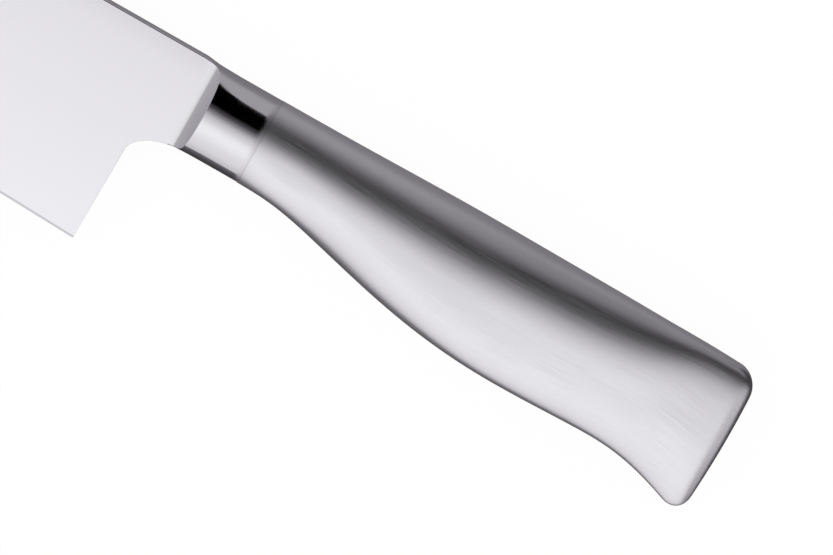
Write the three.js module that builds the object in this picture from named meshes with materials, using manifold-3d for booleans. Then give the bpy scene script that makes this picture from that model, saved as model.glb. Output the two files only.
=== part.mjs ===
// Santoku kitchen knife. The blade, bolster and stub tang are one drop forging. Two pressed
// steel half shells, joined along the back, butt and belly, make the hollow handle, and a ring
// of weld joins it to the bolster. The knife lies on its right side: +X runs from the point to
// the butt, +Y to the spine and +Z out of the left flank. Millimetres.
import * as THREE from "three";
import { mergeVertices } from "three/addons/utils/BufferGeometryUtils.js";
import Module from "manifold-3d";

const wasm = await Module();
wasm.setup();

// Blade: distances run from the heel towards the point
const bladeLength = 180;
const bladeHeight = 48.6;
const spineThickness = 2.6;
const edgeThickness = 0.44;
const distalTaper = 0.0015;
const spineRounding = 0.3;
const edgeBevel = 0.57;
const edgeSlope = 0.0362;
const edgeStraight = 90;
const edgeLift = 5.5;
const spineStraight = 112;
const noseLead = 34;
const noseBack = 12;
const noseRise = 22.5;

// Heel and choil
const heelToJoint = 24.3;
const heelLean = 0.018;
const choilLength = 13;
const choilHeight = 6.65;
const choilSquareness = 2.17;
const choilSink = 0.14;

// Bolster: an oval neck with a hollow-ground ramp down to the flanks
const bolsterHeight = 19.8;
const bolsterWidth = 13.4;
const rampToJoint = 16.9;
const rampRadius = 3.8;
const rampAngle = THREE.MathUtils.degToRad(76);
const neckFlare = 0.28;
const neckToJoint = 8;
const spineStep = 0.43;
const stepLength = 9;
const stepStart = 18;
const stepSink = 0.27;

// Handle: sections at shares of its length. Their growth over the bolster's oval is a share of the swell,
// below 0 where they are drawn in. The squareness of the back and belly halves is 2 for an oval, and the
// sides spread by a share for each spreadHeight upwards
const handleLength = 115.46;
const backSwell = 0.39;
const bellySwell = 14.33;
const sideSwell = 1.9;
const spreadHeight = 10;
const handleSections = [
  { at: 0, back: 0.1, belly: 0.007, side: 0, backSquare: 2, bellySquare: 2, spread: 0 },
  { at: 0.069, back: 0.13, belly: 0.016, side: 0.09, backSquare: 2, bellySquare: 2.7, spread: 0.01 },
  { at: 0.173, back: 0.31, belly: 0.19, side: 0.42, backSquare: 2.04, bellySquare: 2.35, spread: 0.02 },
  { at: 0.294, back: 0.69, belly: 0.423, side: 0.84, backSquare: 2.17, bellySquare: 2.6, spread: 0.025 },
  { at: 0.416, back: 1, belly: 0.597, side: 1, backSquare: 2.2, bellySquare: 3.15, spread: 0.03 },
  { at: 0.554, back: 0.79, belly: 0.682, side: 0.74, backSquare: 2.2, bellySquare: 3.9, spread: 0.06 },
  { at: 0.732, back: 0.54, belly: 0.679, side: -0.17, backSquare: 2.15, bellySquare: 3.5, spread: 0.1 },
  { at: 0.822, back: 0.18, belly: 0.703, side: -0.88, backSquare: 2.4, bellySquare: 3.2, spread: 0.125 },
  { at: 0.9, back: -0.26, belly: 0.841, side: -1.48, backSquare: 3.25, bellySquare: 2.1, spread: 0.084 },
  { at: 0.961, back: -0.97, belly: 1, side: -1.71, backSquare: 3.7, bellySquare: 1.9, spread: 0.086 },
];
const wall = 1.3;
const buttBackRadius = 5;
const buttBellyRadius = 5.1;
const buttSideLength = 5;
const buttSideDraw = 2.8;
const buttCrown = 0.65;
const buttCrownRise = 1.6;
const buttCrownLength = 16;

// Joints
const bolsterWeldWidth = 0.4;
const seamWeldWidth = 0.5;
const spigotClearance = 0.3;
const spigotLength = 10;
const tangLength = 46;
const tangHeight = 9;
const tangTipHeight = 5;
const tangThickness = 4.5;

// Facets
const noseSteps = 14;
const noseCrowding = 1.3;
const edgeSteps = 10;
const arcSteps = 10;
const rampSteps = 10;
const neckSteps = 4;
const bisections = 40;
const gripSteps = 28;
const cavitySteps = 18;
const buttSteps = 6;
const gripSides = 44;
const cavitySides = 28;

const spineY = bolsterHeight / 2 + spineStep;
const heelX = -heelToJoint;
const heelY = spineY - bladeHeight;
const pointX = heelX - bladeLength;
const flankSlope = (spineThickness - edgeThickness) / 2 / (bladeHeight - edgeBevel);
const overlap = 1;
const mergeDistance = 1e-5;

// Largest shares of a thin section that its bevel and its rounding may take
const bevelShare = 0.4;
const roundShare = 0.8;

const steel = {
  ground: new THREE.MeshStandardMaterial({ color: 0xe0e0e2, roughness: 0.3, metalness: 1 }),
  satin: new THREE.MeshStandardMaterial({ color: 0xd8d8da, roughness: 0.36, metalness: 1 }),
  weld: new THREE.MeshStandardMaterial({ color: 0xc4c4c6, roughness: 0.42, metalness: 1 }),
};

function share(steps) {
  return Array.from({ length: steps + 1 }, (_, i) => i / steps);
}

// Closed skin over rings of equally many points, with a fan over each end
function loft(rings) {
  const count = rings[0].length;
  const points = rings.flat();
  const index = [];
  for (let i = 0; i + 1 < rings.length; i++) {
    for (let j = 0; j < count; j++) {
      const a = i * count + j;
      const b = i * count + ((j + 1) % count);
      index.push(a, b, b + count, a, b + count, a + count);
    }
  }
  for (const [first, turn] of [[0, 1], [(rings.length - 1) * count, 0]]) {
    const middle = new THREE.Vector3();
    for (let j = 0; j < count; j++) middle.addScaledVector(points[first + j], 1 / count);
    points.push(middle);
    for (let j = 0; j < count; j++) {
      const pair = [first + j, first + ((j + 1) % count)];
      index.push(pair[turn], pair[1 - turn], points.length - 1);
    }
  }
  const skin = new THREE.BufferGeometry().setFromPoints(points);
  skin.setIndex(index);
  return skin;
}

// Solid from a closed skin, its faces turned outwards and its collapsed facets left out
function toSolid(skin) {
  skin.deleteAttribute("normal");
  skin.deleteAttribute("uv");
  const merged = mergeVertices(skin, mergeDistance);
  const corners = merged.index.array;
  const at = (i) => new THREE.Vector3().fromBufferAttribute(merged.attributes.position, i);
  const facets = [];
  let volume = 0;
  for (let i = 0; i < corners.length; i += 3) {
    const [a, b, c] = corners.slice(i, i + 3);
    if (a !== b && b !== c && c !== a) {
      facets.push([a, b, c]);
      volume += at(a).dot(at(b).cross(at(c)));
    }
  }
  const triVerts = Uint32Array.from(facets.flatMap(([a, b, c]) => (volume > 0 ? [a, b, c] : [a, c, b])));
  const vertProperties = merged.attributes.position.array;
  return new wasm.Manifold(new wasm.Mesh({ numProp: 3, vertProperties, triVerts }));
}

function toMesh(name, solid, material) {
  const facets = solid.getMesh();
  const geometry = new THREE.BufferGeometry();
  geometry.setAttribute("position", new THREE.BufferAttribute(facets.vertProperties, 3));
  geometry.setIndex(new THREE.BufferAttribute(facets.triVerts, 1));
  const mesh = new THREE.Mesh(geometry, material);
  mesh.name = name;
  return mesh;
}

function block(low, high) {
  const size = new THREE.Vector3().subVectors(high, low);
  const box = new THREE.BoxGeometry(size.x, size.y, size.z);
  box.translate(low.x + size.x / 2, low.y + size.y / 2, low.z + size.z / 2);
  return toSolid(box);
}

// Natural cubic spline through the named value of each handle section
function sectionCurve(value) {
  const x = handleSections.map((section) => handleLength * section.at);
  const y = handleSections.map(value);
  const last = x.length - 1;
  const bend = new Array(last + 1).fill(0);
  const lower = new Array(last + 1).fill(0);
  for (let i = 1; i < last; i++) {
    const before = x[i] - x[i - 1];
    const after = x[i + 1] - x[i];
    const pivot = 2 * (before + after) - before * lower[i - 1];
    const kink = (y[i + 1] - y[i]) / after - (y[i] - y[i - 1]) / before;
    lower[i] = after / pivot;
    bend[i] = (6 * kink - before * bend[i - 1]) / pivot;
  }
  for (let i = last - 1; i > 0; i--) bend[i] -= lower[i] * bend[i + 1];
  return (at) => {
    let i = 0;
    while (i < last - 1 && at > x[i + 1]) i++;
    const width = x[i + 1] - x[i];
    const a = (x[i + 1] - at) / width;
    const b = 1 - a;
    const curve = ((a ** 3 - a) * bend[i] + (b ** 3 - b) * bend[i + 1]) * width ** 2 / 6;
    return a * y[i] + b * y[i + 1] + curve;
  };
}

// Half thickness of the blade: each flank is one plane
function flank(x, y) {
  return spineThickness / 2 - flankSlope * (spineY - y) + distalTaper * (x - heelX);
}

function edgeRise(distance) {
  const curved = Math.max(0, distance - edgeStraight) / (bladeLength - edgeStraight);
  return edgeSlope * distance + edgeLift * curved ** 2;
}

// Outline of a blade section, from the edge up the left flank, over the spine and down the right
function bladeRing(x, top) {
  const bottom = heelY + edgeRise(heelX - x);
  const height = top - bottom;
  const bevel = Math.min(edgeBevel, bevelShare * height);
  const shoulder = top - Math.min(spineRounding, bevelShare * height);
  const half = flank(x, shoulder);
  const round = Math.min(top - shoulder, roundShare * half);
  const soft = round * (1 - Math.SQRT1_2);
  const left = [
    [bottom + bevel, height > 0 ? flank(x, bottom + bevel) : 0],
    [shoulder, height > 0 ? half : 0],
    [top - (top - shoulder) * (1 - Math.SQRT1_2), height > 0 ? half - soft : 0],
    [top, height > 0 ? half - round : 0],
  ];
  const right = left.map(([y, z]) => [y, -z]).reverse();
  return [[bottom, 0], ...left, ...right].map(([y, z]) => new THREE.Vector3(x, y, z));
}

// Blade as far as the inside of the bolster, with the heel and choil cut
function blade() {
  const nose = new THREE.CubicBezierCurve(
    new THREE.Vector2(pointX, heelY + edgeRise(bladeLength)),
    new THREE.Vector2(pointX + noseBack, heelY + edgeRise(bladeLength) + noseRise),
    new THREE.Vector2(heelX - spineStraight - noseLead, spineY),
    new THREE.Vector2(heelX - spineStraight, spineY),
  );
  const outline = share(noseSteps).map((t) => nose.getPoint(t ** noseCrowding));
  const rings = outline.map(({ x, y }) => bladeRing(x, y));
  const straightEnd = -stepStart;
  const straightFrom = heelX - spineStraight;
  for (const t of share(edgeSteps).slice(1)) {
    rings.push(bladeRing(THREE.MathUtils.lerp(straightFrom, straightEnd, t), spineY));
  }
  for (const t of share(rampSteps).slice(1)) {
    const drop = (spineStep + stepSink) * (1 - (1 - t) ** 2);
    rings.push(bladeRing(straightEnd + stepLength * t, spineY - drop));
  }
  const choilY = -bolsterHeight / 2 + choilSink - choilHeight;
  const choilX = heelX + heelLean * (choilY - heelY);
  const below = heelY - bladeHeight;
  const clear = new THREE.Shape();
  clear.moveTo(heelX - heelLean * (heelY - below), below);
  for (const t of share(2 * arcSteps)) {
    const left = Math.cos(t * Math.PI / 2);
    const rise = choilHeight * (1 - left ** choilSquareness) ** (1 / choilSquareness);
    clear.lineTo(choilX + choilLength * (1 - left), choilY + rise);
  }
  clear.lineTo(overlap, choilY + choilHeight);
  clear.lineTo(overlap, below);
  const depth = spineThickness + 2 * overlap;
  const cut = new THREE.ExtrudeGeometry(clear, { depth, bevelEnabled: false });
  cut.translate(0, 0, -depth / 2);
  return toSolid(loft(rings)).subtract(toSolid(cut));
}

// Height of the ramp over the flank, a hollow arc that runs out into a steep straight
function rampRise(x) {
  const run = x + rampToJoint;
  const arcRun = rampRadius * Math.sin(rampAngle);
  if (run < arcRun) return rampRadius - Math.sqrt(rampRadius ** 2 - run ** 2);
  return rampRadius * (1 - Math.cos(rampAngle)) + (run - arcRun) * Math.tan(rampAngle);
}

// Bolster section: the oval of the neck, cut flat where the ramp lies below it
function bolsterRing(x) {
  const flare = neckFlare * (Math.max(0, -neckToJoint - x) / (rampToJoint - neckToJoint)) ** 2;
  const height = bolsterHeight / 2 + flare;
  const width = bolsterWidth / 2;
  const oval = (angle) => [height * Math.sin(angle), width * Math.cos(angle)];
  const ramp = (y) => flank(x, y) + rampRise(x) - choilSink / 2;
  const crossing = (side) => {
    let inside = 0;
    let outside = side * Math.PI / 2;
    if (ramp(0) >= width) return 0;
    for (let i = 0; i < bisections; i++) {
      const middle = (inside + outside) / 2;
      const [y, z] = oval(middle);
      if (z > ramp(y)) inside = middle;
      else outside = middle;
    }
    return outside;
  };
  const low = crossing(-1);
  const high = crossing(1);
  const belly = share(arcSteps).map((t) => oval(THREE.MathUtils.lerp(-Math.PI / 2, low, t)));
  const back = share(arcSteps).map((t) => oval(THREE.MathUtils.lerp(high, Math.PI / 2, t)));
  const left = [...belly, ...back];
  const right = left.slice(1, -1).map(([y, z]) => [y, -z]).reverse();
  return [...left, ...right].map(([y, z]) => new THREE.Vector3(x, y, z));
}

function bolster() {
  const rampRun = rampRadius * Math.sin(rampAngle);
  const straightRise = bolsterWidth / 2 - flank(-rampToJoint, 0) - rampRadius * (1 - Math.cos(rampAngle));
  const rampEnd = -rampToJoint + rampRun + (straightRise + choilSink) / Math.tan(rampAngle);
  const places = [
    ...share(rampSteps).map((t) => -rampToJoint + rampRun * t),
    ...share(rampSteps).slice(1).map((t) => THREE.MathUtils.lerp(-rampToJoint + rampRun, rampEnd, t)),
    ...share(neckSteps).slice(1).map((t) => THREE.MathUtils.lerp(rampEnd, 0, t)),
  ];
  return toSolid(loft(places.map(bolsterRing)));
}

// Oval spigot that centres the handle's mouth, and the tapered stub of tang behind it
function spigot() {
  const height = bolsterHeight / 2 - wall - spigotClearance;
  const width = bolsterWidth / 2 - wall - spigotClearance;
  const outline = new THREE.Shape();
  outline.absellipse(0, 0, width, height, 0, 2 * Math.PI, false);
  const depth = spigotLength + overlap;
  const plug = new THREE.ExtrudeGeometry(outline, { depth, bevelEnabled: false, curveSegments: arcSteps });
  plug.rotateY(Math.PI / 2);
  plug.translate(-overlap, 0, 0);
  const stub = new THREE.Shape();
  stub.moveTo(spigotLength - overlap, -tangHeight / 2);
  stub.lineTo(tangLength, -tangTipHeight / 2);
  stub.lineTo(tangLength, tangTipHeight / 2);
  stub.lineTo(spigotLength - overlap, tangHeight / 2);
  const tang = new THREE.ExtrudeGeometry(stub, { depth: tangThickness, bevelEnabled: false });
  tang.translate(0, 0, -tangThickness / 2);
  return toSolid(plug).add(toSolid(tang));
}

const curves = {
  back: sectionCurve((section) => bolsterHeight / 2 + backSwell * section.back),
  belly: sectionCurve((section) => -bolsterHeight / 2 - bellySwell * section.belly),
  side: sectionCurve((section) => bolsterWidth / 2 + sideSwell * section.side),
  backSquare: sectionCurve((section) => section.backSquare),
  bellySquare: sectionCurve((section) => section.bellySquare),
  spread: sectionCurve((section) => section.spread / spreadHeight),
};

// How far a butt corner of this length and draw has drawn in, at a place along the handle
function drawnIn(x, end, length, draw) {
  const run = Math.max(0, x - (end - length)) / length;
  return draw * (1 - Math.sqrt(Math.max(0, 1 - run ** 2)));
}

// Superelliptic handle section, drawn in by the wall for the cavity
function handleRing(x, inset, sides) {
  const end = handleLength - inset;
  const [backCorner, bellyCorner] = [buttBackRadius - inset, buttBellyRadius - inset];
  const back = curves.back(x) - inset - drawnIn(x, end, backCorner, backCorner);
  const belly = curves.belly(x) + inset + drawnIn(x, end, bellyCorner, bellyCorner);
  const side = curves.side(x) - inset - drawnIn(x, end, buttSideLength - inset, buttSideDraw - inset);
  const crown = buttCrown * (Math.max(0, x - end + buttCrownLength) / buttCrownLength) ** 2;
  const crownY = (curves.back(handleLength) + curves.belly(handleLength)) / 2 + buttCrownRise;
  const crownReach = (curves.back(handleLength) - curves.belly(handleLength)) / 2;
  return share(sides).slice(1).map((turn) => {
    const sine = Math.sin(2 * Math.PI * turn);
    const cosine = Math.cos(2 * Math.PI * turn);
    const power = sine > 0 ? curves.backSquare(x) : curves.bellySquare(x);
    const stretch = (Math.abs(sine) ** power + Math.abs(cosine) ** power) ** (1 / power);
    const height = (back - belly) / 2 * sine / stretch;
    const y = (back + belly) / 2 + height;
    const z = side * cosine / stretch * (1 + curves.spread(x) * height);
    return new THREE.Vector3(x - crown * ((y - crownY) / crownReach) ** 2, y, z);
  });
}

// Skin of the handle at this depth under its surface, from its mouth to its butt
function handleSkin(from, inset, steps, sides) {
  const end = handleLength - inset;
  const bend = end - Math.max(buttBackRadius, buttBellyRadius, buttSideLength) + inset;
  const places = [
    ...share(steps).map((t) => THREE.MathUtils.lerp(0, bend, t)),
    ...share(buttSteps).slice(1).map((t) => THREE.MathUtils.lerp(bend, end, Math.sin(t * Math.PI / 2))),
  ];
  const rings = places.map((x) => handleRing(x, inset, sides));
  const mouth = rings[0].map(({ y, z }) => new THREE.Vector3(from, y, z));
  return toSolid(loft(from < 0 ? [mouth, ...rings] : rings));
}

const cavity = handleSkin(-overlap, wall, cavitySteps, cavitySides);
const hollow = handleSkin(0, 0, gripSteps, gripSides).subtract(cavity);
const far = handleLength + bladeHeight;
const between = (fromX, fromZ, toX, toZ) =>
  hollow.intersect(block(new THREE.Vector3(fromX, -far, fromZ), new THREE.Vector3(toX, far, toZ)));
const forging = blade().add(bolster()).add(spigot());
const halfSeam = seamWeldWidth / 2;

const knife = new THREE.Group();
knife.add(
  toMesh("blade_forging", forging, steel.ground),
  toMesh("bolster_weld", between(-overlap, -far, bolsterWeldWidth, far), steel.weld),
  toMesh("handle_shell_left", between(bolsterWeldWidth, halfSeam, far, far), steel.satin),
  toMesh("handle_shell_right", between(bolsterWeldWidth, -far, far, -halfSeam), steel.satin),
  toMesh("handle_seam_weld", between(bolsterWeldWidth, -halfSeam, far, halfSeam), steel.weld),
);

// Origin under the middle of the knife, on the surface that it lies on
const box = new THREE.Box3().setFromObject(knife);
const middle = box.getCenter(new THREE.Vector3());
knife.position.set(-middle.x, -middle.y, -box.min.z);

export default knife;
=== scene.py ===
"""All-steel santoku knife, laid on its right side in a small product studio.

The blade, the bolster and the stub tang are one forging. The hollow handle is two pressed half shells
with a seam weld between them, and a ring of weld joins it to the bolster. Each piece is modelled as a
fine surface over its solid in the frame. Sizes run along X from the joint of bolster and handle, along
Y from the bolster's axis to the spine, and along Z from the blade's middle to the left flank.
"""

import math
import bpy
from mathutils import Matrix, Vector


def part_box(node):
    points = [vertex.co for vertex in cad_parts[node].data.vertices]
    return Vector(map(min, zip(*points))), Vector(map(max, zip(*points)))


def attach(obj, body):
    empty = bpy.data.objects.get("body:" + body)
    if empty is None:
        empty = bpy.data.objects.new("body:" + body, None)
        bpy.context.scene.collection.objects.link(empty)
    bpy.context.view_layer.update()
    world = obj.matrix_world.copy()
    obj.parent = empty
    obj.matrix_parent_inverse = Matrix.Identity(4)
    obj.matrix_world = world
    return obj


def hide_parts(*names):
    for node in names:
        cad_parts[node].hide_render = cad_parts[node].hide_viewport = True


bl_info = {
    "name": "Santoku knife",
    "version": (1, 0, 0),
    "blender": (4, 5, 0),
    "location": "View3D > Sidebar > Santoku",
    "description": "Models an all-steel santoku knife and the studio that shows it",
    "category": "Add Mesh",
}

from collections import namedtuple

import bmesh
import bpy
import numpy as np
from bpy.props import FloatProperty, FloatVectorProperty, PointerProperty
from bpy.types import Operator, Panel, PropertyGroup
from mathutils import Matrix, Vector

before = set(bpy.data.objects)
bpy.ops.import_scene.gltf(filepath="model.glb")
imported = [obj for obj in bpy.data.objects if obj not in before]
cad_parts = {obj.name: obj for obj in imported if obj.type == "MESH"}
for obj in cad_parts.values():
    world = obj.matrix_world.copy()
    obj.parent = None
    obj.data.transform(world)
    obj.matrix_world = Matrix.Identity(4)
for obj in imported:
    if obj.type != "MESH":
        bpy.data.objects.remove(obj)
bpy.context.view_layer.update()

MM = 0.001

# Handle sections at shares of its length: growth over the bolster's oval as a share of the swell,
# squareness of the back and of the belly half, from 2 for an oval, and how much the sides spread upwards
Section = namedtuple("Section", "at back belly side back_square belly_square spread")
SECTIONS = (
    Section(0, 0.1, 0.007, 0, 2, 2, 0),
    Section(0.069, 0.13, 0.016, 0.09, 2, 2.7, 0.01),
    Section(0.173, 0.31, 0.19, 0.42, 2.04, 2.35, 0.02),
    Section(0.294, 0.69, 0.423, 0.84, 2.17, 2.6, 0.025),
    Section(0.416, 1, 0.597, 1, 2.2, 3.15, 0.03),
    Section(0.554, 0.79, 0.682, 0.74, 2.2, 3.9, 0.06),
    Section(0.732, 0.54, 0.679, -0.17, 2.15, 3.5, 0.1),
    Section(0.822, 0.18, 0.703, -0.88, 2.4, 3.2, 0.125),
    Section(0.9, -0.26, 0.841, -1.48, 3.25, 2.1, 0.084),
    Section(0.961, -0.97, 1, -1.71, 3.7, 1.9, 0.086),
)

# Most of the blade's half thickness that a broken corner takes, and of its height that the bevel takes
CORNER_SHARE = 0.8
BEVEL_SHARE = 0.4

# Finishes of the forging, in the order of its materials
FLANK, BEVEL, RAMP, BOLSTER, TANG = range(5)

# Grain of a finish: size of a scratch along X, Y and Z and its depth, in millimetres, and the change of
# roughness it brings. Real scratches are finer than the picture, so these are as coarse as they need to
# be to show. The brushed grain follows the form of the grip: along it, and round it.
Grain = namedtuple("Grain", "size depth spread")
FINE_GROUND = Grain((0.3, 9, 9), 0.0006, 0.02)
HONED = Grain((0.25, 4, 4), 0.001, 0.04)
HOLLOW_GROUND = Grain((6, 0.3, 6), 0.001, 0.03)
FORGED = Grain((1.5, 1.5, 1.5), 0.05, 0.1)
BRUSHED = Grain((14, 0.32, 1), 0.0023, 0.06)
DRESSED = Grain((0.3, 0.3, 0.3), 0.002, 0.04)

# Noise that stands for scratches: its layers, the strength of each over the last, and the range it fills
SCRATCH_LAYERS = 3.0
SCRATCH_STRENGTH = 0.6
SCRATCH_LOW = 0.3
SCRATCH_HIGH = 0.7

# Light that the metal sees round the knife: degrees from overhead towards the spine side, and level
SCRIM_LEVELS = (
    (-90, 0.6),
    (-66, 0.82),
    (-50, 0.88),
    (-36, 1.0),
    (-27, 1.04),
    (-19, 0.96),
    (-15, 0.84),
    (-11.5, 0.77),
    (-4.5, 0.585),
    (2, 0.285),
    (8.5, 0.075),
    (16, 0.0),
)

# Light of the tent's end beyond the butt: millimetres along Y, and level
BUTT_LEVELS = (
    (-500, 0.1),
    (-300, 0.42),
    (-100, 0.68),
    (0, 0.68),
    (150, 0.0),
)

# Upper edge of the grey card on the spine side: millimetres along X, and degrees from overhead
GREY_EDGE = (
    (-750, 51.8),
    (-140, 51.8),
    (-80, 67),
    (-24, 67),
    (-16, 57.5),
    (-8, 54.5),
    (9, 52.5),
    (22, 50.8),
    (31, 48.6),
    (62, 40.5),
    (125, 40),
    (160, 49.5),
    (750, 52),
)

# Degrees from overhead at which the tent meets the table, share of its radius at which the grey card
# hangs, millimetres by which a table card lies over the last, and floor's reach in tent half lengths
HORIZON = 90
GREY_RADIUS = 0.95
CARD_LIFT = 0.1
FLOOR_REACH = 4

# Mesh fineness
ROWS = 112
LOWER_ROWS = 10
NOSE_COLUMNS = 56
STRAIGHT_COLUMNS = 16
CHOIL_COLUMNS = 26
RAMP_COLUMNS = 30
NECK_COLUMNS = 26
GRIP_STATIONS = 120
BUTT_STATIONS = 30
CAP_STATIONS = 22
HALF_RING = 112
SEAM_POINTS = 6
WELD_STATIONS = 6
ARCH_STEPS = 48

# Halvings in the search for the ramp's crest
SOLVER_STEPS = 44

# Points closer than this many metres are one, and edges that turn by more than this are sharp
POINT_MERGE = 2e-7
SHARP_ANGLE = math.radians(16)


def linear(colour):
    """Linear red, green and blue of an sRGB hex colour."""
    shares = [int(colour[i:i + 2], 16) / 255 for i in (0, 2, 4)]
    return tuple(c / 12.92 if c <= 0.04045 else ((c + 0.055) / 1.055) ** 2.4 for c in shares)


def size(name, description, millimetres):
    """A length for the sidebar."""
    metres = millimetres * MM
    return FloatProperty(name=name, description=description, default=metres, unit="LENGTH", precision=5)


def ratio(name, description, value):
    """A plain number for the sidebar."""
    return FloatProperty(name=name, description=description, default=value, precision=4)


def angle(name, description, degrees):
    """An angle for the sidebar."""
    radians = math.radians(degrees)
    return FloatProperty(name=name, description=description, default=radians, subtype="ANGLE")


def factor(name, description, value):
    """A share from 0 to 1 for the sidebar."""
    return FloatProperty(
        name=name, description=description, default=value, min=0, max=1, subtype="FACTOR"
    )


def tint(name, description, colour):
    """A colour for the sidebar, from its sRGB hex value."""
    return FloatVectorProperty(
        name=name, description=description, default=linear(colour), size=3, min=0, max=1, subtype="COLOR"
    )


class BladeSizes(PropertyGroup):
    """Sizes of the blade, with lengths along the edge counted from the heel."""

    length: size("Blade length", "Heel to point", 180)
    height: size("Blade height", "Heel to spine", 48.6)
    spine: size("Spine thickness", "Thickness along the spine", 2.6)
    edge: size("Edge thickness", "Thickness above the honed bevel", 0.44)
    taper: ratio("Distal taper", "Half thickness lost towards the point, per length", 0.0015)
    rounding: size("Spine rounding", "Radius of the broken corners of the spine", 0.3)
    roll: size("Spine roll", "Depth that the finishing belt took off the flanks at the spine", 0.06)
    roll_width: size("Spine roll width", "Width of flank that was rolled off", 5)
    choil_break: size("Choil break", "Radius of the broken corners of the choil", 0.15)
    bevel: size("Honed bevel", "Height of the honed bevel", 0.57)
    edge_slope: ratio("Edge slope", "Rise of the edge towards the point, per length", 0.0362)
    edge_straight: size("Straight edge", "Length of edge before it curves up", 90)
    edge_lift: size("Edge lift", "Extra rise of the edge at the point", 5.5)
    spine_straight: size("Straight spine", "Length of spine before it drops to the point", 112)
    nose_lead: size("Nose lead", "How far the straight spine leads the nose curve", 34)
    nose_back: size("Nose back", "How far the nose leans back over the point", 12)
    nose_rise: size("Nose rise", "How steeply the nose rises from the point", 22.5)
    heel_to_joint: size("Heel to joint", "Heel to the joint of bolster and handle", 24.3)
    heel_lean: ratio("Heel lean", "Lean of the heel's back face", 0.018)
    choil_length: size("Choil length", "Length of the curve from heel to bolster", 13)
    choil_height: size("Choil height", "Height of the curve from heel to bolster", 6.65)
    choil_square: ratio("Choil squareness", "Fullness of the curve, from 2 for an ellipse", 2.17)
    choil_sink: size("Choil sink", "Depth of the curve's end inside the bolster", 0.14)


class BolsterSizes(PropertyGroup):
    """Sizes of the oval bolster and of the ramp from it to the flanks."""

    height: size("Bolster height", "Height of the oval at the joint", 19.8)
    width: size("Bolster width", "Width of the oval", 13.4)
    ramp_to_joint: size("Ramp to joint", "Foot of the ramp to the joint", 16.9)
    ramp_radius: size("Ramp radius", "Radius of the hollow at the foot of the ramp", 3.8)
    ramp_angle: angle("Ramp angle", "Steepness of the ramp above its hollow", 76)
    flare: size("Neck flare", "Growth of the oval's half height towards the ramp", 0.28)
    neck_to_joint: size("Neck to joint", "Where the flare starts, from the joint", 8)
    spine_step: size("Spine step", "Height of the spine over the bolster", 0.43)
    step_length: size("Step length", "Length over which the spine drops into the bolster", 9)
    step_start: size("Step start", "Where the spine starts to drop, from the joint", 18)
    step_sink: size("Step sink", "Depth of the spine's end inside the bolster", 0.27)
    satin_end: size("Satin end", "Length before the joint that was blended with the handle", 1.6)
    buff: ratio("Crest buffing", "Share of the width buffed off, if it ran to the ramp's foot", 0.114)
    buff_start: size("Buffing start", "Where the buffing starts, from the joint", 7)


class HandleSizes(PropertyGroup):
    """Sizes of the hollow handle, its welds and the stub tang inside it."""

    length: size("Handle length", "Joint to butt", 115.46)
    back_swell: size("Back swell", "Largest growth of the back over the bolster's oval", 0.39)
    belly_swell: size("Belly swell", "Largest growth of the belly over the bolster's oval", 14.33)
    side_swell: size("Side swell", "Largest growth of the sides over the bolster's oval", 1.9)
    spread_height: size("Spread height", "Height for which the sides spread by a section's share", 10)
    wall: size("Wall", "Thickness of the pressed shells", 1.3)
    back_radius: size("Butt back radius", "Rounding of the butt at the back", 5)
    belly_radius: size("Butt belly radius", "Rounding of the butt at the belly", 5.1)
    side_length: size("Butt side length", "Length over which the butt's sides draw in", 5)
    side_draw: size("Butt side draw", "How far the butt's sides draw in", 2.8)
    crown: size("Butt crown", "Bulge of the butt's end face", 0.65)
    crown_rise: size("Crown rise", "Height of the bulge's top over the middle of the butt", 1.6)
    crown_length: size("Crown length", "Length over which the bulge fades", 16)
    weld: size("Bolster weld", "Width of the ring of weld at the joint", 0.4)
    seam: size("Seam weld", "Width of the weld between the shells", 0.5)
    spigot_clearance: size("Spigot clearance", "Gap between the spigot and the shells", 0.3)
    spigot_length: size("Spigot length", "Length of the spigot inside the handle", 10)
    tang_length: size("Tang length", "Joint to the end of the stub tang", 46)
    tang_height: size("Tang height", "Height of the tang at the spigot", 9)
    tang_tip: size("Tang tip", "Height of the tang at its end", 5)
    tang_thickness: size("Tang thickness", "Thickness of the tang", 4.5)


class SteelFinishes(PropertyGroup):
    """Colours and polish of the steel."""

    blade: tint("Blade", "Ground flanks", "F5F4F8")
    bevel: tint("Bevel", "Honed cutting bevel", "DCDBDF")
    ramp: tint("Ramp", "Hollow of the bolster's ramp", "F6F6F9")
    bolster: tint("Bolster", "Polished bolster", "E8E7EB")
    handle: tint("Handle", "Brushed handle", "F0EFF3")
    weld: tint("Weld", "Dressed ring of weld", "DEDCE1")
    tang: tint("Tang", "Forged skin of the tang", "6E6B68")
    blade_rough: factor("Blade roughness", "Fine grinding of the flanks", 0.21)
    ramp_rough: factor("Ramp roughness", "Satin of the ramp", 0.24)
    bolster_rough: factor("Bolster roughness", "Polish of the bolster", 0.08)
    handle_rough: factor("Handle roughness", "Brushing of the handle", 0.36)
    weld_rough: factor("Weld roughness", "Dressing of the weld", 0.36)
    tang_rough: factor("Tang roughness", "Forging skin", 0.7)


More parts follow.
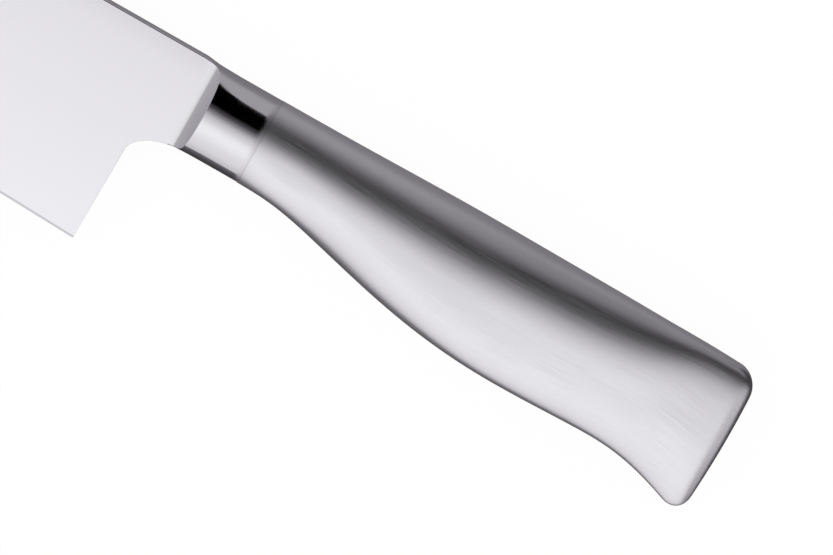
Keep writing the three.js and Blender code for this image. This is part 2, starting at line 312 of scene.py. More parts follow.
class StudioSettings(PropertyGroup):
    """Camera and light."""

    lens: FloatProperty(name="Lens", description="Focal length", default=400, unit="CAMERA")
    sensor: FloatProperty(name="Sensor", description="Sensor width", default=36, unit="CAMERA")
    view_width: size("View width", "Width of the picture at the knife", 174.0)
    aim_x: size("Aim along", "Picture's middle behind the joint", 42.45)
    aim_y: size("Aim across", "Picture's middle below the bolster's axis, as seen", 8.475)
    tilt: angle("Tilt", "Lean of the view towards the spine", 15)
    roll: angle("Roll", "Turn of the knife in the picture", 29.7)
    floor: tint("Floor", "White paper under the knife", "FBFBFB")
    shade: tint("Shade", "Cast of the cards where they are dark", "FDF7FF")
    glow: factor("Paper glow", "Share of the paper that shows as plain white", 0.97)
    tent_radius: size("Tent radius", "Light tent round the knife", 650)
    tent_half: size("Tent half length", "Light tent along the knife", 750)
    grey_level: factor("Grey card", "Level of the grey card beside the bolster", 0.4)
    grey_low: factor("Grey card at butt", "Level of the grey card beside the butt", 0.215)
    grey_fade: size("Grey card fade", "Length over which the grey card darkens", 68)
    scrim_low: factor("Scrim end", "Share of the scrim's light left beyond the point", 0.75)
    scrim_fade: size("Scrim fade", "Where the scrim starts to dim towards the point", 187.5)
    point_level: factor("Point end", "Level of the tent's end beyond the point", 0.4)
    butt_table: factor("Butt table", "Level of the table beyond the butt", 0.05)
    # Cards that stand for the table in the steel: their near levels are the knife's shadow painted in,
    # darkest next to it
    spine_far: factor("Spine side table", "Level of the table on the spine side", 0.36)
    spine_near: factor("Spine side shade", "Level of the table in the knife's shade", 0.18)
    shade_width: size("Shade width", "Width of the knife's shade on the table", 90)
    belly_far: factor("Belly side table", "Level of the table on the belly side", 0.14)
    belly_near: factor("Belly side shade", "Level of the table in the knife's shade on that side", 0.03)


def share(steps):
    """Even shares from 0 to 1."""
    return np.linspace(0, 1, steps + 1)


def eased(steps):
    """Shares from 0 to 1 that crowd at both ends, as the heights of even turns of a half circle do."""
    return (1 - np.cos(np.pi * share(steps))) / 2


def lerp(start, end, part):
    """Point between two values."""
    return start + (end - start) * part


def natural_spline(places, values):
    """Natural cubic spline through values at places."""
    places, values = np.array(places), np.array(values)
    gaps = np.diff(places)
    slopes = np.diff(values) / gaps
    system = np.eye(len(places))
    kinks = np.zeros(len(places))
    for i in range(1, len(places) - 1):
        system[i, i - 1:i + 2] = gaps[i - 1], 2 * (gaps[i - 1] + gaps[i]), gaps[i]
        kinks[i] = 6 * (slopes[i] - slopes[i - 1])
    bends = np.linalg.solve(system, kinks)

    def curve(at):
        i = np.clip(np.searchsorted(places, at) - 1, 0, len(gaps) - 1)
        a = (places[i + 1] - at) / gaps[i]
        b = 1 - a
        bow = ((a ** 3 - a) * bends[i] + (b ** 3 - b) * bends[i + 1]) * gaps[i] ** 2 / 6
        return a * values[i] + b * values[i + 1] + bow

    return curve


def stacked(x, y, z):
    """Grid of points from grids of coordinates."""
    return np.stack(np.broadcast_arrays(x, y, z), axis=-1)


def mirrored(grid):
    """The same points on the right side of the knife."""
    return grid * (1, 1, -1)


def joint_origin():
    """Where the joint's middle lies in the frame: the bolster's axis, on the blade's middle plane."""
    bolster = bpy.context.scene.santoku_bolster
    weld_low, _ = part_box("bolster_weld")
    low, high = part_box("blade_forging")
    axis_y = high.y - bolster.height / 2 - bolster.spine_step
    return np.array((weld_low.x, axis_y, (low.z + high.z) / 2))


def sew(mesh):
    """Joins the points that grids share, turns the faces outwards and keeps sharp edges sharp."""
    skin = bmesh.new()
    skin.from_mesh(mesh)
    bmesh.ops.remove_doubles(skin, verts=skin.verts, dist=POINT_MERGE)
    bmesh.ops.recalc_face_normals(skin, faces=skin.faces)
    for face in skin.faces:
        face.smooth = True
    for edge in skin.edges:
        edge.smooth = edge.is_manifold and edge.calc_face_angle() < SHARP_ANGLE
    skin.to_mesh(mesh)
    skin.free()


def add_piece(name, patches, materials, node):
    """Makes the piece that stands for a node from grids of points, each with its material's number.

    A map of the place along X and of the way across each grid lets a grain follow the piece's form.
    """
    points, faces, finishes, places = [], [], [], []
    for grid, finish in patches:
        rows, columns = grid.shape[:2]
        corner = len(points) + np.arange(rows * columns).reshape(rows, columns)
        quads = np.stack((corner[:-1, :-1], corner[1:, :-1], corner[1:, 1:], corner[:-1, 1:]), axis=-1)
        middle = grid[rows // 2]
        steps = np.linalg.norm(np.diff(middle, axis=0), axis=1)
        across = np.broadcast_to(np.append(0, np.cumsum(steps)), (rows, columns))
        places.extend(np.stack((grid[..., 0], across), axis=-1).reshape(-1, 2).tolist())
        points.extend((grid + joint_origin()).reshape(-1, 3).tolist())
        faces.extend(quads.reshape(-1, 4).tolist())
        finishes.extend([finish] * (rows - 1) * (columns - 1))
    mesh = bpy.data.meshes.new(name)
    mesh.from_pydata(points, [], faces)
    for material in materials:
        mesh.materials.append(material)
    mesh.polygons.foreach_set("material_index", finishes)
    grain_map = mesh.uv_layers.new(name="grain")
    grain_map.uv.foreach_set("vector", np.array(places)[np.array(faces)].ravel())
    sew(mesh)
    piece = bpy.data.objects.new(name, mesh)
    bpy.context.collection.objects.link(piece)
    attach(piece, "root")
    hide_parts(node)
    return piece


def add_node(material, kind, settings, inputs):
    """Adds a node: settings are its own values, inputs are values or other nodes' outputs by socket."""
    made = material.node_tree.nodes.new(kind)
    for name, value in settings.items():
        setattr(made, name, value)
    for socket, value in inputs.items():
        if isinstance(value, bpy.types.NodeSocket):
            material.node_tree.links.new(value, made.inputs[socket])
        else:
            made.inputs[socket].default_value = value
    return made


def new_material(name):
    """Empty material."""
    material = bpy.data.materials.new(name)
    material.use_nodes = True
    material.node_tree.nodes.clear()
    return material


def with_surface(material, shader):
    """The material with a shader as its surface."""
    add_node(material, "ShaderNodeOutputMaterial", {}, {"Surface": shader})
    return material


def coordinate(material, axis):
    """Place along an axis of the frame."""
    place = add_node(material, "ShaderNodeTexCoord", {}, {})
    split = add_node(material, "ShaderNodeSeparateXYZ", {}, {"Vector": place.outputs["Object"]})
    return split.outputs[axis]


def steel(name, colour, rough, grain, follows="Object"):
    """Stainless steel with a grain along X, Y and Z, or along and across the piece's own form.

    Grinding leaves fine parallel scratches. They tilt the surface by a degree or so, which frays the
    edges of what it reflects along the grain, and they make it a little sharper here and duller there.
    """
    material = new_material(name)
    place = add_node(material, "ShaderNodeTexCoord", {}, {})
    scale = tuple(1 / (length * MM) for length in grain.size)
    stretched = add_node(
        material, "ShaderNodeMapping", {}, {"Vector": place.outputs[follows], "Scale": scale}
    )
    scratches = add_node(
        material,
        "ShaderNodeTexNoise",
        {},
        {"Vector": stretched.outputs["Vector"], "Scale": 1.0, "Detail": SCRATCH_LAYERS,
         "Roughness": SCRATCH_STRENGTH},
    )
    polish = add_node(
        material,
        "ShaderNodeMapRange",
        {},
        {"Value": scratches.outputs["Fac"], "From Min": SCRATCH_LOW, "From Max": SCRATCH_HIGH,
         "To Min": rough - grain.spread, "To Max": rough + grain.spread},
    )
    relief = add_node(
        material,
        "ShaderNodeBump",
        {},
        {"Strength": 1.0, "Distance": grain.depth * MM, "Height": scratches.outputs["Fac"]},
    )
    surface = add_node(
        material,
        "ShaderNodeBsdfPrincipled",
        {},
        {"Base Color": (*colour, 1), "Metallic": 1.0, "Roughness": polish.outputs["Result"],
         "Normal": relief.outputs["Normal"]},
    )
    return with_surface(material, surface.outputs["BSDF"])


def polished_steel(finishes, satin_end):
    """Mirror-polished bolster steel.

    The buffing wheel leaves a clear mirror, and blending the handle over the joint leaves a satin
    margin just before it, so the mirror dulls there.
    """
    material = new_material("buffed_stainless_steel")
    joint = float(joint_origin()[0])
    polish = add_node(
        material,
        "ShaderNodeMapRange",
        {"interpolation_type": "SMOOTHSTEP"},
        {"Value": coordinate(material, "X"), "From Min": joint - satin_end, "From Max": joint,
         "To Min": finishes.bolster_rough, "To Max": finishes.handle_rough},
    )
    surface = add_node(
        material,
        "ShaderNodeBsdfPrincipled",
        {},
        {"Base Color": (*finishes.bolster, 1), "Metallic": 1.0, "Roughness": polish.outputs["Result"]},
    )
    return with_surface(material, surface.outputs["BSDF"])


class Forging:
    """Form of the forging: its outline and half thickness by place."""

    def __init__(self, blade, bolster, handle):
        self.blade, self.bolster, self.handle = blade, bolster, handle
        self.spine = bolster.height / 2 + bolster.spine_step
        self.heel_x = -blade.heel_to_joint
        self.heel_y = self.spine - blade.height
        self.choil_y = -bolster.height / 2 + blade.choil_sink - blade.choil_height
        self.choil_x = self.heel_x + blade.heel_lean * (self.choil_y - self.heel_y)
        self.foot = -bolster.ramp_to_joint

    def flank(self, x, y):
        """Half thickness of the blade: each flank is one plane."""
        blade = self.blade
        slope = (blade.spine - blade.edge) / 2 / (blade.height - blade.bevel)
        return blade.spine / 2 - slope * (self.spine - y) + blade.taper * (x - self.heel_x)

    def edge(self, x):
        """Height of the cutting edge, straight from the heel and then rising to the point."""
        blade = self.blade
        run = self.heel_x - x
        curved = np.maximum(0, run - blade.edge_straight) / (blade.length - blade.edge_straight)
        return self.heel_y + blade.edge_slope * run + blade.edge_lift * curved ** 2

    def plate_top(self, x):
        """Height of the spine, which drops into the bolster."""
        bolster = self.bolster
        fall = 1 - np.clip((x + bolster.step_start) / bolster.step_length, 0, 1)
        return self.spine - (bolster.spine_step + bolster.step_sink) * (1 - fall ** 2)

    def plate_bottom(self, x):
        """Height of the choil, a full quarter ellipse from the heel into the bolster."""
        blade = self.blade
        left = 1 - np.clip((x - self.choil_x) / blade.choil_length, 0, 1)
        rise = (1 - left ** blade.choil_square) ** (1 / blade.choil_square)
        return self.choil_y + blade.choil_height * rise

    def plate(self, x, y, top, bottom):
        """Half thickness of the blade, rolled off at the spine, with corners broken at top and bottom."""
        rolled = np.clip(1 - (top - y) / self.blade.roll_width, 0, 1)
        half = self.flank(x, y) - self.blade.roll * rolled ** 2
        for depth, radius in ((top - y, self.blade.rounding), (y - bottom, self.blade.choil_break)):
            radius = np.minimum(radius, CORNER_SHARE * half)
            inside = np.clip(1 - depth / radius, 0, 1)
            half = half - radius * (1 - np.sqrt(1 - inside ** 2))
        return np.where((y > top) | (y < bottom), 0, half)

    def neck(self, x):
        """Half height of the bolster's oval."""
        bolster = self.bolster
        length = bolster.ramp_to_joint - bolster.neck_to_joint
        flared = np.maximum(0, -bolster.neck_to_joint - x) / length
        return bolster.height / 2 + bolster.flare * flared ** 2

    def oval(self, x, y):
        """Half width of the bolster's oval at a height, a little less where buffing rolled it off."""
        bolster = self.bolster
        length = bolster.ramp_to_joint - bolster.buff_start
        rolled = np.clip((-x - bolster.buff_start) / length, 0, 1)
        half = bolster.width / 2 * (1 - bolster.buff * rolled ** 2)
        return half * np.sqrt(np.maximum(0, 1 - (y / self.neck(x)) ** 2))

    def ramp(self, x, y):
        """Half width of the ramp: a hollow arc that runs out into a steep straight."""
        radius, steep = self.bolster.ramp_radius, self.bolster.ramp_angle
        run = np.maximum(0, x - self.foot)
        arc_end = radius * math.sin(steep)
        hollow = radius - np.sqrt(radius ** 2 - np.minimum(run, arc_end) ** 2)
        return self.flank(x, y) + hollow + np.maximum(0, run - arc_end) * math.tan(steep)

    def span(self, x):
        """Bottom and top of the section behind the heel."""
        low, high, neck = self.plate_bottom(x), self.plate_top(x), self.neck(x)
        on_bolster = x >= self.foot - POINT_MERGE
        bottom = np.where(on_bolster, np.minimum(low, -neck), low)
        top = np.where(on_bolster, np.maximum(high, neck), high)
        return bottom, top

    def columns(self, x):
        """Points of the left side over the sections at x, one row for each share of their height."""
        low, high = self.span(x)
        y = lerp(low, high, eased(ROWS))
        half = self.plate(x, y, self.plate_top(x), self.plate_bottom(x))
        raised = np.minimum(self.oval(x, y), self.ramp(x, y))
        return stacked(x, y, np.where(x >= self.foot - POINT_MERGE, np.maximum(half, raised), half))

    def crest(self):
        """Where the ramp meets the oval, for each row of the bolster's section."""
        rows = eased(ROWS)
        near, far = np.full(ROWS + 1, self.foot), np.zeros(ROWS + 1)
        for _ in range(SOLVER_STEPS):
            middle = (near + far) / 2
            low, high = self.span(middle)
            y = lerp(low, high, rows)
            below = self.ramp(middle, y) < self.oval(middle, y)
            near, far = np.where(below, middle, near), np.where(below, far, middle)
        return np.maximum(far, self.foot + self.blade.choil_break)

    def nose(self):
        """Points of the nose: one cubic curve from the point back to the straight spine."""
        blade = self.blade
        point_x = self.heel_x - blade.length
        point_y = float(self.edge(point_x))
        straight = self.heel_x - blade.spine_straight
        controls = (
            (point_x, point_y),
            (point_x + blade.nose_back, point_y + blade.nose_rise),
            (straight - blade.nose_lead, self.spine),
            (straight, self.spine),
        )
        t = share(NOSE_COLUMNS)
        weights = ((1 - t) ** 3, 3 * t * (1 - t) ** 2, 3 * t ** 2 * (1 - t), t ** 3)
        return sum(np.outer(weight, control) for weight, control in zip(weights, controls))

    def blade_columns(self):
        """Lower and upper rows of the left flank, from the point to the heel."""
        blade = self.blade
        nose = self.nose()
        straight = self.heel_x - blade.spine_straight
        along = share(STRAIGHT_COLUMNS)[1:]
        x = np.append(nose[:, 0], lerp(straight, self.heel_x, along))[:, None]
        top = np.append(nose[:, 1], np.full(STRAIGHT_COLUMNS, self.spine))[:, None]
        lean = blade.heel_lean * np.append(np.zeros(NOSE_COLUMNS + 1), along)[:, None]
        bottom = self.edge(x)
        height = np.maximum(0, top - bottom)
        bevel = np.minimum(blade.bevel, BEVEL_SHARE * height)
        split = lerp(bottom, top, (self.choil_y - self.heel_y) / blade.height)
        lower = np.hstack((bottom, lerp(bottom + bevel, split, share(LOWER_ROWS))))
        upper = lerp(split, top, eased(ROWS))
        grids = []
        for y in (lower, upper):
            leaning = x + lean * (np.minimum(y, self.choil_y) - self.heel_y)
            half = self.plate(x, y, top, bottom - blade.height)
            grids.append(stacked(leaning, y, np.where(height > 0, half, 0)))
        grids[0][:, 0, 2] = 0
        return grids

    def tang_columns(self):
        """Left side of the spigot and of the tang behind it, with the shoulder before each."""
        handle = self.handle
        gap = handle.wall + handle.spigot_clearance
        turn = np.pi * share(ROWS)
        spigot_y = -(self.bolster.height / 2 - gap) * np.cos(turn)
        spigot_z = (self.bolster.width / 2 - gap) * np.sin(turn)
        flat = np.full(ROWS + 1, handle.tang_thickness / 2)
        sections = (
            (0, spigot_y, spigot_z),
            (handle.spigot_length, spigot_y, spigot_z),
            (handle.spigot_length, -handle.tang_height / 2 * np.cos(turn), flat),
            (handle.tang_length, -handle.tang_tip / 2 * np.cos(turn), flat),
            (handle.tang_length, -handle.tang_tip / 2 * np.cos(turn), 0 * flat),
        )
        return np.array([stacked(x, y, z) for x, y, z in sections])

    def patches(self):
        """Grids over the whole forging, each with its finish."""
        lower, upper = self.blade_columns()
        heel_turn = np.arccos(np.clip((self.foot - self.choil_x) / self.blade.choil_length - 1, -1, 1))
        arc = lerp(np.pi, heel_turn, share(CHOIL_COLUMNS))[:, None]
        behind_heel = self.columns(self.choil_x + self.blade.choil_length * (1 + np.cos(arc)))
        crest = self.crest()
        ramp = self.columns(lerp(self.foot, crest, share(RAMP_COLUMNS)[:, None]))
        neck = self.columns(lerp(crest, 0 * crest, share(NECK_COLUMNS)[:, None]))
        tang = np.concatenate((neck[-1:], self.tang_columns()))
        front = ((lower[:, :2], BEVEL), (lower[:, 1:], FLANK), (upper, FLANK))
        rear = ((behind_heel, FLANK), (ramp, RAMP), (neck, BOLSTER), (tang, TANG))
        left = front + rear
        borders = [(lower[-1], FLANK), (upper[:, -1], FLANK)]
        for grid, finish in rear:
            borders += [(grid[:, 0], finish), (grid[:, -1], finish)]
        bridges = [(np.stack((line, mirrored(line))), finish) for line, finish in borders]
        return [*left, *[(mirrored(grid), finish) for grid, finish in left], *bridges]


class Handle:
    """Form of the handle: superelliptic sections from the joint to the butt, and over the butt's end."""

    def __init__(self, bolster, handle):
        self.handle = handle
        at, back, belly, side, back_square, belly_square, spread = np.array(SECTIONS).T
        self.places = handle.length * at
        self.back = self.curve(bolster.height / 2 + handle.back_swell * back)
        self.belly = self.curve(-bolster.height / 2 - handle.belly_swell * belly)
        self.side = self.curve(bolster.width / 2 + handle.side_swell * side)
        self.back_square = self.curve(back_square)
        self.belly_square = self.curve(belly_square)
        self.spread = self.curve(spread / handle.spread_height)

    def curve(self, values):
        """Smooth curve through one value of each section."""
        return natural_spline(self.places, values)

    def drawn_in(self, x, length, draw):
        """How far a butt corner of this length and draw has drawn in."""
        run = np.clip((x - self.handle.length + length) / length, 0, 1)
        return draw * (1 - np.sqrt(1 - run ** 2))

    def sections(self, x, end_share):
        """Middle, half height and half width of the sections at x, shrunk on the end face."""
        handle = self.handle
        back = self.back(x) - self.drawn_in(x, handle.back_radius, handle.back_radius)
        belly = self.belly(x) + self.drawn_in(x, handle.belly_radius, handle.belly_radius)
        side = self.side(x) - self.drawn_in(x, handle.side_length, handle.side_draw)
        return (back + belly) / 2, (back - belly) / 2 * end_share, side * end_share

    def crowned(self, x, y, z):
        """Points with the bulge of the butt worked in."""
        handle = self.handle
        high, low = self.back(handle.length), self.belly(handle.length)
        fade = np.maximum(0, x - handle.length + handle.crown_length) / handle.crown_length
        away = (y - handle.crown_rise - (high + low) / 2) / ((high - low) / 2)
        return stacked(x - handle.crown * fade ** 2 * away ** 2, y, z)

    def stations(self):
        """Places and end shares of the sections, from the ring of weld to the middle of the butt."""
        handle = self.handle
        bend = handle.length - max(handle.back_radius, handle.belly_radius, handle.side_length)
        grip = lerp(handle.weld, bend, share(GRIP_STATIONS))
        butt = lerp(bend, handle.length, np.sin(share(BUTT_STATIONS)[1:] * np.pi / 2))
        cap = np.full(CAP_STATIONS, handle.length)
        end_half = self.side(handle.length) - handle.side_draw
        shrinking = lerp(1, handle.seam / 2 / end_half, share(CAP_STATIONS)[1:])
        ones = np.ones(len(grip) + len(butt))
        return np.concatenate((grip, butt, cap))[:, None], np.concatenate((ones, shrinking))[:, None]

    def skin(self, x, end_share, turn):
        """Points of the sections at turns from the left side towards the back."""
        middle, reach, side = self.sections(x, end_share)
        sine, cosine = np.sin(turn), np.cos(turn)
        power = np.where(sine > 0, self.back_square(x), self.belly_square(x))
        stretch = (abs(sine) ** power + abs(cosine) ** power) ** (1 / power)
        height = reach * sine / stretch
        return self.crowned(x, middle + height, side * cosine / stretch * (1 + self.spread(x) * height))

    def seam_turns(self, x, end_share, z):
        """Turns at which the sections come within z of the middle plane, at the back and the belly."""
        _, reach, side = self.sections(x, end_share)
        turns = []
        for end, power in ((1, self.back_square(x)), (-1, self.belly_square(x))):
            across = np.clip(z / side / (1 + end * self.spread(x) * reach), -1, 1)
            turns.append(end * np.arctan2((1 - abs(across) ** power) ** (1 / power), across))
        return turns

    def shell(self):
        """Outer surface of the left shell, from the belly seam to the back seam."""
        x, end_share = self.stations()
        back, belly = self.seam_turns(x, end_share, self.handle.seam / 2)
        return self.skin(x, end_share, lerp(belly, back, eased(HALF_RING)))

    def seam(self):
        """Outer surface of the seam weld: up the back, over the butt and along the belly."""
        x, end_share = self.stations()
        z = lerp(-1, 1, share(SEAM_POINTS)) * self.handle.seam / 2
        back, belly = (self.skin(x, end_share, turn) for turn in self.seam_turns(x, end_share, z))
        return np.concatenate((back, belly[::-1]))

    def ring(self):
        """Outer surface of the ring of weld at the joint."""
        x = lerp(0, self.handle.weld, share(WELD_STATIONS))[:, None]
        return self.skin(x, 1, 2 * np.pi * share(2 * HALF_RING))


def give_wall(piece, wall):
    """Thickens a surface inwards to the wall of the pressed shells."""
    solid = piece.modifiers.new("wall", "SOLIDIFY")
    solid.thickness = wall
    solid.offset = -1


def handle_steel(finishes):
    """Stainless steel of the handle, brushed along the grip.

    The brushing blurs what the handle reflects into broad soft bands with faint streaks along them.
    """
    name = "lengthwise_brushed_stainless_steel"
    return steel(name, finishes.handle, finishes.handle_rough, BRUSHED, "UV")


class SANTOKU_OT_forging(Operator):
    """Models the blade, bolster and tang as one forging"""

    bl_idname = "santoku.forging"
    bl_label = "Blade forging"

    def execute(self, context):
        scene = context.scene
        finishes = scene.santoku_finishes
        materials = (
            # Belt-ground and finely finished across the blade: a pale, even satin
            steel("fine_ground_stainless_steel", finishes.blade, finishes.blade_rough, FINE_GROUND),
            # Honed on a wet stone: a bright narrow facet with scratches across the edge
            steel("honed_stainless_steel", finishes.bevel, finishes.ramp_rough, HONED),
            # Hollow-ground with a small wheel: satin with scratches that run up the ramp
            steel("hollow_ground_stainless_steel", finishes.ramp, finishes.ramp_rough, HOLLOW_GROUND),
            polished_steel(finishes, scene.santoku_bolster.satin_end),
            # Left as it came from the hammer: dark and dull
            steel("forged_stainless_steel", finishes.tang, finishes.tang_rough, FORGED),
        )
        form = Forging(scene.santoku_blade, scene.santoku_bolster, scene.santoku_handle)
        add_piece("blade_and_bolster", form.patches(), materials, "blade_forging")
        return {"FINISHED"}


class SANTOKU_OT_weld_ring(Operator):
    """Models the ring of weld between bolster and handle"""

    bl_idname = "santoku.weld_ring"
    bl_label = "Bolster weld"

    def execute(self, context):
        scene = context.scene
        finishes = scene.santoku_finishes
        # Weld bead dressed flush with an abrasive band: a fine line, a little darker than its neighbours
        dressed = steel("dressed_weld_steel", finishes.weld, finishes.weld_rough, DRESSED)
        form = Handle(scene.santoku_bolster, scene.santoku_handle)
        patches = [(form.ring(), 0)]
        ring = add_piece("bolster_weld_ring", patches, [dressed], "bolster_weld")
        give_wall(ring, scene.santoku_handle.wall)
        return {"FINISHED"}


class SANTOKU_OT_handle(Operator):
    """Models the two half shells of the handle and the seam weld between them"""

    bl_idname = "santoku.handle"
    bl_label = "Handle"

    def execute(self, context):
        scene = context.scene
        brushed = handle_steel(scene.santoku_finishes)
        form = Handle(scene.santoku_bolster, scene.santoku_handle)
        shell = form.shell()
        pieces = (
            ("left_shell", shell, "handle_shell_left", "handle_steel"),
            ("right_shell", mirrored(shell), "handle_shell_right", "handle_steel"),
            ("seam_weld", form.seam(), "handle_seam_weld", "weld_steel"),
        )
        for name, grid, node, slot in pieces:
            give_wall(add_piece(name, [(grid, 0)], [brushed], node), scene.santoku_handle.wall)
        return {"FINISHED"}


def add_stage(name, points, faces, material, only_reflected):
    """Adds a floor or card of the studio to the scene. A card that is only reflected shows in nothing but
    metal.
    """
    mesh = bpy.data.meshes.new(name)
    mesh.from_pydata([tuple(point) for point in points], [], faces)
    mesh.materials.append(material)
    card = bpy.data.objects.new(name, mesh)
    bpy.context.collection.objects.link(card)
    card.visible_camera = not only_reflected
    card.visible_diffuse = not only_reflected
    card.visible_shadow = not only_reflected
    card.visible_transmission = not only_reflected


def level_card(x, y, z):
    """Points and faces of a level card between two places along X and two along Y."""
    corners = [(x[0], y[0], z), (x[1], y[0], z), (x[1], y[1], z), (x[0], y[1], z)]
    return corners, [(0, 1, 2, 3)]


def card_light(level):
    """Light of a card: white is neutral, and darker cards take on the cast of the shade."""
    shade = bpy.context.scene.santoku_studio.shade
    return (*(level * lerp(cast, 1, level) for cast in shade), 1)


def card_material(name, level):
    """Evenly lit card."""
    material = new_material(name)
    light = add_node(material, "ShaderNodeEmission", {}, {"Color": card_light(level)})
    return with_surface(material, light.outputs["Emission"])


def grade(material, place, stops):
    """Light by place, from stops of place and level."""
    (first, _), *_, (last, _) = stops
    way = add_node(
        material, "ShaderNodeMapRange", {}, {"Value": place, "From Min": first, "From Max": last}
    )
    grading = add_node(material, "ShaderNodeValToRGB", {}, {"Fac": way.outputs["Result"]})
    marks = grading.color_ramp.elements
    while len(marks) < len(stops):
        marks.new(1)
    for mark, (at, level) in zip(marks, stops):
        mark.position = (at - first) / (last - first)
        mark.color = card_light(level)
    return grading.outputs["Color"]


def graded_card_material(name, axis, stops):
    """Card whose light changes along an axis, from stops of place and level."""
    material = new_material(name)
    graded = grade(material, coordinate(material, axis), stops)
    light = add_node(material, "ShaderNodeEmission", {}, {"Color": graded})
    return with_surface(material, light.outputs["Emission"])


def scrim_material(studio):
    """Lit cloth of the tent, graded by its angle round the knife and dimmer beyond the point.

    The radial gradient turned by a quarter runs from 0 to 1 round the knife, with a half overhead.
    """
    material = new_material("graded_scrim")
    place = add_node(material, "ShaderNodeTexCoord", {}, {})
    turned = add_node(
        material,
        "ShaderNodeVectorRotate",
        {"rotation_type": "Y_AXIS"},
        {"Vector": place.outputs["Object"], "Angle": math.pi / 2},
    )
    around = add_node(
        material,
        "ShaderNodeTexGradient",
        {"gradient_type": "RADIAL"},
        {"Vector": turned.outputs["Vector"]},
    )
    stops = [(0.5 + turn / 360, level) for turn, level in SCRIM_LEVELS]
    graded = grade(material, around.outputs["Fac"], stops)
    fade = add_node(
        material,
        "ShaderNodeMapRange",
        {},
        {"Value": coordinate(material, "X"), "From Min": -studio.tent_half,
         "From Max": -studio.scrim_fade, "To Min": studio.scrim_low, "To Max": 1.0},
    )
    light = add_node(
        material, "ShaderNodeEmission", {}, {"Color": graded, "Strength": fade.outputs["Result"]}
    )
    return with_surface(material, light.outputs["Emission"])


def floor_material(studio):
    """Matt white paper that shows mostly as plain white and keeps a faint shadow."""
    material = new_material("matt_white_paper")
    ray = add_node(material, "ShaderNodeLightPath", {}, {})
    seen = ray.outputs["Is Camera Ray"]
    for other in ("Is Glossy Ray", "Is Transmission Ray"):
        either = {0: seen, 1: ray.outputs[other]}
        seen = add_node(material, "ShaderNodeMath", {"operation": "MAXIMUM"}, either).outputs[0]
    glow = add_node(material, "ShaderNodeMath", {"operation": "MULTIPLY"}, {0: seen, 1: studio.glow})
    paper = add_node(material, "ShaderNodeBsdfDiffuse", {}, {"Color": (*studio.floor, 1)})
    white = add_node(material, "ShaderNodeEmission", {}, {"Color": (1, 1, 1, 1)})
    mixed = add_node(
        material,
        "ShaderNodeMixShader",
        {},
        {"Fac": glow.outputs[0], 1: paper.outputs["BSDF"], 2: white.outputs["Emission"]},
    )
    return with_surface(material, mixed.outputs["Shader"])


def arch(radius, edge, to_degrees):
    """Points and faces of a strip round the knife, from an edge of X and degrees from overhead."""
    points, faces = [], []
    across = ARCH_STEPS + 1
    for x, from_degrees in edge:
        for turn in np.radians(lerp(from_degrees, to_degrees, share(ARCH_STEPS))):
            points.append((x, radius * math.sin(turn), radius * math.cos(turn)))
    for i in range(len(edge) - 1):
        for corner in range(i * across, i * across + ARCH_STEPS):
            faces.append((corner, corner + across, corner + across + 1, corner + 1))
    return points, faces


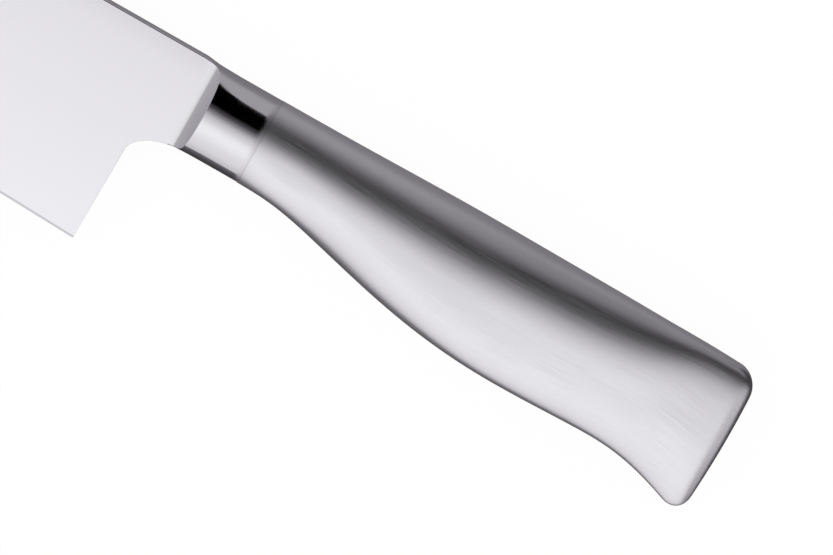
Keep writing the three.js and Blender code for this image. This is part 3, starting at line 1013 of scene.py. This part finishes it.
class SANTOKU_OT_studio(Operator):
    """Sets up the floor, the light tent and the camera"""

    bl_idname = "santoku.studio"
    bl_label = "Studio"

    def execute(self, context):
        scene = context.scene
        studio = scene.santoku_studio
        self.add_tent(studio)
        self.add_ends(studio)
        self.add_tables(studio, scene.santoku_handle)
        reach = FLOOR_REACH * studio.tent_half
        paper = level_card((-reach, reach), (-reach, reach), 0)
        add_stage("paper_floor", *paper, floor_material(studio), False)
        world = bpy.data.worlds.new("white_studio")
        world.use_nodes = True
        world.node_tree.nodes["Background"].inputs["Color"].default_value = (1, 1, 1, 1)
        scene.world = world
        self.add_camera(scene, studio)
        scene.view_settings.view_transform = "Standard"
        return {"FINISHED"}

    def add_tent(self, studio):
        """Arches that the steel reflects: a scrim, a black card beside it and a grey card below."""
        radius, half = studio.tent_radius, studio.tent_half
        joint_x = float(joint_origin()[0])
        lit_from, lit_to = SCRIM_LEVELS[0][0], SCRIM_LEVELS[-1][0]
        strip = arch(radius, ((-half, lit_from), (half, lit_from)), lit_to)
        add_stage("scrim", *strip, scrim_material(studio), True)
        strip = arch(radius, ((-half, lit_to), (half, lit_to)), HORIZON)
        add_stage("black_card", *strip, card_material("black_card", 0.0), True)
        fade = ((joint_x, studio.grey_level), (joint_x + studio.grey_fade, studio.grey_low))
        grey = graded_card_material("grey_card", "X", fade)
        strip = arch(GREY_RADIUS * radius, [(x * MM, turn) for x, turn in GREY_EDGE], HORIZON)
        add_stage("grey_card", *strip, grey, True)

    def add_ends(self, studio):
        """Upright cards that close the tent beyond the point and beyond the butt."""
        radius, half = studio.tent_radius, studio.tent_half
        levels = [(y * MM, level) for y, level in BUTT_LEVELS]
        butt = graded_card_material("butt_end_card", "Y", levels)
        point = card_material("point_end_card", studio.point_level)
        for name, x, material in (("point_end", -half, point), ("butt_end", half, butt)):
            corners = [(x, -radius, 0), (x, radius, 0), (x, radius, radius), (x, -radius, radius)]
            add_stage(name, corners, [(0, 1, 2, 3)], material, True)

    def add_tables(self, studio, handle):
        """Table in the steel: painted shadow of the knife on both sides, darkest near it, and dark past
        the butt.
        """
        radius, half = studio.tent_radius, studio.tent_half
        joint_x, axis_y, _ = (float(place) for place in joint_origin())
        lift = CARD_LIFT * MM
        for name, side, near, far in (
            ("spine_table_painted_shade", 1, studio.spine_near, studio.spine_far),
            ("belly_table_painted_shade", -1, studio.belly_near, studio.belly_far),
        ):
            # Painted shadow: each card is darkest next to the knife and lightens over the shade width,
            # seen only in the steel
            fade = ((axis_y, near), (axis_y + side * studio.shade_width, far))
            shaded = graded_card_material(name, "Y", fade)
            card = level_card((-half, half), (axis_y, side * radius), lift)
            add_stage(name, *card, shaded, True)
        card = level_card((joint_x + handle.length, half), (-radius, radius), 2 * lift)
        add_stage("butt_table", *card, card_material("butt_table", studio.butt_table), True)

    def add_camera(self, scene, studio):
        """Camera over the left flank, leaning towards the spine and rolled as the knife lies."""
        lens = bpy.data.cameras.new("camera")
        lens.lens = studio.lens
        lens.sensor_width = studio.sensor
        camera = bpy.data.objects.new("camera", lens)
        bpy.context.collection.objects.link(camera)
        back = Vector((0, math.sin(studio.tilt), math.cos(studio.tilt)))
        along = Vector((1, 0, 0))
        across = back.cross(along)
        right = math.cos(studio.roll) * along + math.sin(studio.roll) * across
        up = back.cross(right)
        below = studio.aim_y / math.cos(studio.tilt)
        aim = Vector(joint_origin()) + Vector((studio.aim_x, -below, 0))
        place = aim + back * (studio.view_width * studio.lens / studio.sensor)
        camera.matrix_world = Matrix.Translation(place) @ Matrix((right, up, back)).transposed().to_4x4()
        scene.camera = camera


OPERATORS = (SANTOKU_OT_forging, SANTOKU_OT_weld_ring, SANTOKU_OT_handle, SANTOKU_OT_studio)
GROUPS = {
    "santoku_blade": BladeSizes,
    "santoku_bolster": BolsterSizes,
    "santoku_handle": HandleSizes,
    "santoku_finishes": SteelFinishes,
    "santoku_studio": StudioSettings,
}


class SANTOKU_PT_panel(Panel):
    """Sizes, finishes and the steps that build the knife"""

    bl_idname = "SANTOKU_PT_panel"
    bl_label = "Santoku knife"
    bl_space_type = "VIEW_3D"
    bl_region_type = "UI"
    bl_category = "Santoku"

    def draw(self, context):
        for operator in OPERATORS:
            self.layout.operator(operator.bl_idname)
        for group, kind in GROUPS.items():
            box = self.layout.box()
            for name in kind.__annotations__:
                box.prop(getattr(context.scene, group), name)


def register():
    """Registers the classes and the scene's settings."""
    for kind in (*GROUPS.values(), *OPERATORS, SANTOKU_PT_panel):
        bpy.utils.register_class(kind)
    for name, kind in GROUPS.items():
        setattr(bpy.types.Scene, name, PointerProperty(type=kind))


def unregister():
    """Takes the settings and the classes away again."""
    for name in GROUPS:
        delattr(bpy.types.Scene, name)
    for kind in (SANTOKU_PT_panel, *reversed(OPERATORS), *reversed(GROUPS.values())):
        bpy.utils.unregister_class(kind)


def main():
    """Builds the knife and its studio."""
    register()
    bpy.ops.santoku.forging()
    bpy.ops.santoku.weld_ring()
    bpy.ops.santoku.handle()
    bpy.ops.santoku.studio()


if __name__ == "__main__":
    main()
